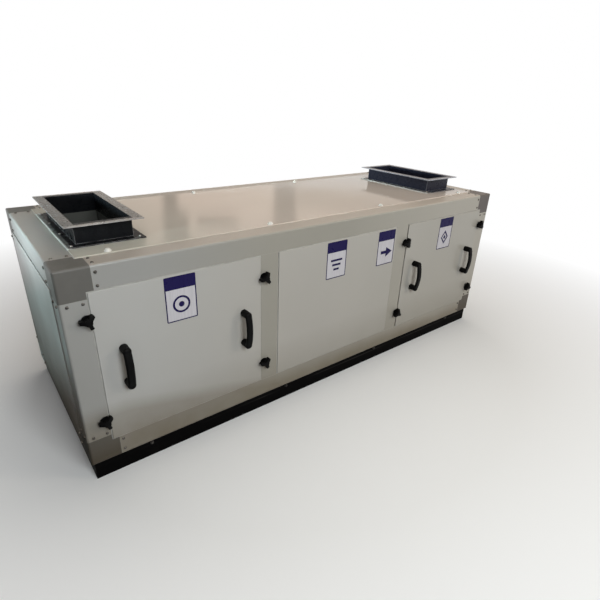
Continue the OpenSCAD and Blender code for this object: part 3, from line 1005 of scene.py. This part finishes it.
class AHU_OT_stickers(Operator):
    """Puts four printed stickers on the doors and the middle panel"""

    bl_idname = "ahu.stickers"
    bl_label = "Stickers"

    # Panel, distance of the sticker from its middle, and motif
    PLACES = (
        ("left_door", -0.0185, ring_motif), ("middle_panel", -0.040, bars_motif),
        ("middle_panel", 0.295, arrow_motif), ("right_door", 0.003, diamond_motif),
    )
    # How far the print stands on the film
    INK_T = 0.00006

    def execute(self, context):
        sizes = context.scene.ahu_stickers
        colours = context.scene.ahu_colours
        film = printed_film("sticker_film", colours.film, 0.34)
        ink = printed_film("sticker_ink", colours.ink, 0.30)
        sheet = sticker_sheet(sizes, film, ink)
        stickers = []
        for panel, offset, motif in self.PLACES:
            low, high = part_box(panel)
            point = Vector(((low.x + high.x) / 2 + offset, low.y, sizes.up))
            move = Matrix.Translation(point) @ facing(FRONT)
            stickers.append(copy_of(sheet, move))
            lift = Matrix.Translation((0, -0.5 * sizes.band, sizes.film))
            for shape in motif():
                shape.data.materials.append(ink)
                apply_modifier(shape, "print", "SOLIDIFY", thickness=self.INK_T, offset=1)
                shape.data.transform(move @ lift)
                stickers.append(shape)
        bpy.data.objects.remove(sheet)
        dress(join(stickers), "stickers")
        return {"FINISHED"}


class AHU_OT_stage(Operator):
    """Sets the floor, the lamps, the world and the camera"""

    bl_idname = "ahu.stage"
    bl_label = "Studio"

    # Lamp, its place, the point that it looks at, its width and height, its spread in degrees and its tone
    LAMPS = (
        ("top", (0.8, 0.6, 3.6), (0.3, 0, 0.5), (3.4, 3.4), 180, (1.0, 0.91, 0.80)),
        ("side", (-3.0, -0.5, 1.15), (-1.2, 0, 1.20), (0.3, 0.3), 33, (0.72, 0.95, 1.0)),
        ("fill", (-0.7, -3.8, 2.5), (-0.4, -0.4, 0.6), (1.5, 1.5), 180, (0.95, 1.0, 1.02)),
        ("key", (4.0, -4.8, 2.8), (0.2, -0.4, 0.6), (1.3, 1.3), 180, (1.0, 0.90, 0.77)),
        ("rear", (1.9, 4.2, 0.44), (0.3, 0.5, 0.44), (2.6, 0.7), 180, (1.0, 0.98, 0.95)),
    )

    def execute(self, context):
        studio = context.scene.ahu_studio
        context.scene.view_settings.view_transform = "Standard"
        set_world(context.scene, studio)
        set_floor(studio)
        for name, *settings in self.LAMPS:
            add_lamp(name + "_lamp", getattr(studio, name + "_power"), *settings)
        camera = bpy.data.cameras.new("camera")
        camera.lens = studio.lens
        camera.sensor_width = 36
        camera.clip_start = 0.05
        eye = bpy.data.objects.new("camera", camera)
        eye.location = studio.camera_at
        eye.rotation_euler = Euler(studio.camera_turn, "XYZ")
        context.scene.collection.objects.link(eye)
        context.scene.camera = eye
        return {"FINISHED"}


def seen_directly(tree):
    """1 for rays from the camera, and for mirrored and refracted ones."""
    path = put(tree, "ShaderNodeLightPath")
    looked = maths(tree, "MAXIMUM", path.outputs["Is Camera Ray"], path.outputs["Is Glossy Ray"])
    return maths(tree, "MAXIMUM", looked, path.outputs["Is Transmission Ray"])


def set_world(scene, studio):
    """White to look at, beige overhead in mirrored rays, and a softer even light on the object."""
    world = bpy.data.worlds.new("studio")
    world.use_nodes = True
    scene.world = world
    tree = world.node_tree
    tree.nodes.clear()
    light = put(tree, "ShaderNodeBackground", {"Color": (0.97, 0.985, 1, 1), "Strength": studio.ambient})
    direction = parts_of(tree, put(tree, "ShaderNodeTexCoord").outputs["Generated"])
    heading = maths(tree, "ARCTAN2", direction["X"], direction["Y"])
    ceiling = studio.ceiling
    # Left and right heading of a mirrored block, sine of its lowest and highest elevation, and its tone
    blocks = (
        (-0.800, 0.150, 0.000, 1.000, studio.left_wall), (0.000, 0.325, 0.275, 1.000, studio.dark_wall),
        (0.370, 0.400, 0.000, 0.235, studio.beams), (0.366, 0.420, 0.235, 1.000, studio.beams),
        (0.440, 0.530, 0.252, 0.275, studio.beams), (0.611, 0.662, 0.000, 1.000, studio.beams),
        (0.662, 1.700, 0.000, 0.230, studio.haze), (0.745, 1.700, 0.230, 1.000, studio.far_wall),
    )
    for left_edge, right_edge, foot, top, tone in blocks:
        within = times(tree, between(tree, heading, left_edge, right_edge, 0.008),
                       between(tree, direction["Z"], foot, top, 0.003))
        ceiling = blend(tree, within, ceiling, tone)
    overhead = past(tree, direction["Z"], 0.1825, 0.0175)
    overhead = times(tree, overhead, put(tree, "ShaderNodeLightPath").outputs["Is Glossy Ray"])
    backdrop = blend(tree, overhead, (1, 1, 1), ceiling)
    view = put(tree, "ShaderNodeBackground", {"Color": backdrop, "Strength": 1.0})
    lit = either(tree, seen_directly(tree), light.outputs[0], view.outputs[0])
    put(tree, "ShaderNodeOutputWorld", {"Surface": lit})


def set_floor(studio):
    """A pale floor that fades to white far away and is dim green where the left end mirrors it."""
    floor = begin("floor", bpy.ops.mesh.primitive_plane_add, size=24, location=(0, 0, -0.0005))
    material, tree, shader = new_material("pale_floor")
    looked = seen_directly(tree)
    feed(tree, shader, base_color=blend(tree, looked, studio.bounce, studio.floor), roughness=0.7)
    distance = vector_maths(tree, "LENGTH", object_coordinates(tree))["Value"]
    away = remap(tree, distance, 1.3, 3.1, 0.06, 1.0)
    deep = coordinate(tree, "Y")
    beside = times(tree, short_of(tree, coordinate(tree, "X"), CASING_LOW.x + 0.015, 0.035),
                   short_of(tree, deep, 1.85, 0.35),
                   put(tree, "ShaderNodeLightPath").outputs["Is Glossy Ray"])
    mirrored = studio.left_floor
    mirrored = blend(tree, remap(tree, deep, 0.10, 0.50), shade(mirrored, 0.06), mirrored)
    shown = blend(tree, beside, (1, 1, 1), mirrored)
    glow = put(tree, "ShaderNodeEmission", {"Color": shown, "Strength": 1.0})
    glowing = maths(tree, "MAXIMUM", times(tree, away, looked), beside)
    lit = either(tree, glowing, shader.outputs[0], glow.outputs[0])
    tree.links.new(lit, tree.nodes["Material Output"].inputs["Surface"])
    floor.data.materials.append(material)


def add_lamp(name, watts, spot, target, size, spread, tone):
    """A soft lamp of a width and height at a spot, that looks at a target, with its spread in degrees."""
    lamp = bpy.data.lights.new(name, "AREA")
    lamp.shape = "RECTANGLE"
    lamp.size, lamp.size_y = size
    lamp.spread = radians(spread)
    lamp.energy = watts
    lamp.color = tone
    holder = bpy.data.objects.new(name, lamp)
    holder.location = spot
    holder.rotation_euler = (Vector(target) - Vector(spot)).to_track_quat("-Z", "Y").to_euler()
    holder.visible_camera = False
    bpy.context.scene.collection.objects.link(holder)


class AHU_PT_panel(Panel):
    """Buttons for each piece of the air handling unit"""

    bl_idname = "AHU_PT_panel"
    bl_label = "Air handling unit"
    bl_space_type = "VIEW_3D"
    bl_region_type = "UI"
    bl_category = "Air unit"

    def draw(self, context):
        for operator in OPERATORS:
            self.layout.operator(operator.bl_idname)


SETTINGS = {
    "ahu_colours": CasingColours,
    "ahu_fasteners": FastenerSizes,
    "ahu_stickers": StickerSizes,
    "ahu_seals": SealSizes,
    "ahu_studio": StudioSettings,
}
OPERATORS = (
    AHU_OT_stage, AHU_OT_paint_casing, AHU_OT_paint_black, AHU_OT_rail_screws, AHU_OT_collar_screws,
    AHU_OT_roof_caps, AHU_OT_base_bolts, AHU_OT_panel_seals, AHU_OT_stickers,
)


def register():
    """Registers the classes and hangs the settings on the scene."""
    for kind in (*SETTINGS.values(), *OPERATORS, AHU_PT_panel):
        bpy.utils.register_class(kind)
    for name, kind in SETTINGS.items():
        setattr(bpy.types.Scene, name, PointerProperty(type=kind))


def unregister():
    """Takes the settings off the scene and unregisters the classes."""
    for name in SETTINGS:
        delattr(bpy.types.Scene, name)
    for kind in reversed((*SETTINGS.values(), *OPERATORS, AHU_PT_panel)):
        bpy.utils.unregister_class(kind)


def main():
    """Builds everything."""
    register()
    bpy.ops.ahu.stage()
    bpy.ops.ahu.paint_casing()
    bpy.ops.ahu.paint_black()
    bpy.ops.ahu.rail_screws()
    bpy.ops.ahu.collar_screws()
    bpy.ops.ahu.roof_caps()
    bpy.ops.ahu.base_bolts()
    bpy.ops.ahu.panel_seals()
    bpy.ops.ahu.stickers()


if __name__ == "__main__":
    main()
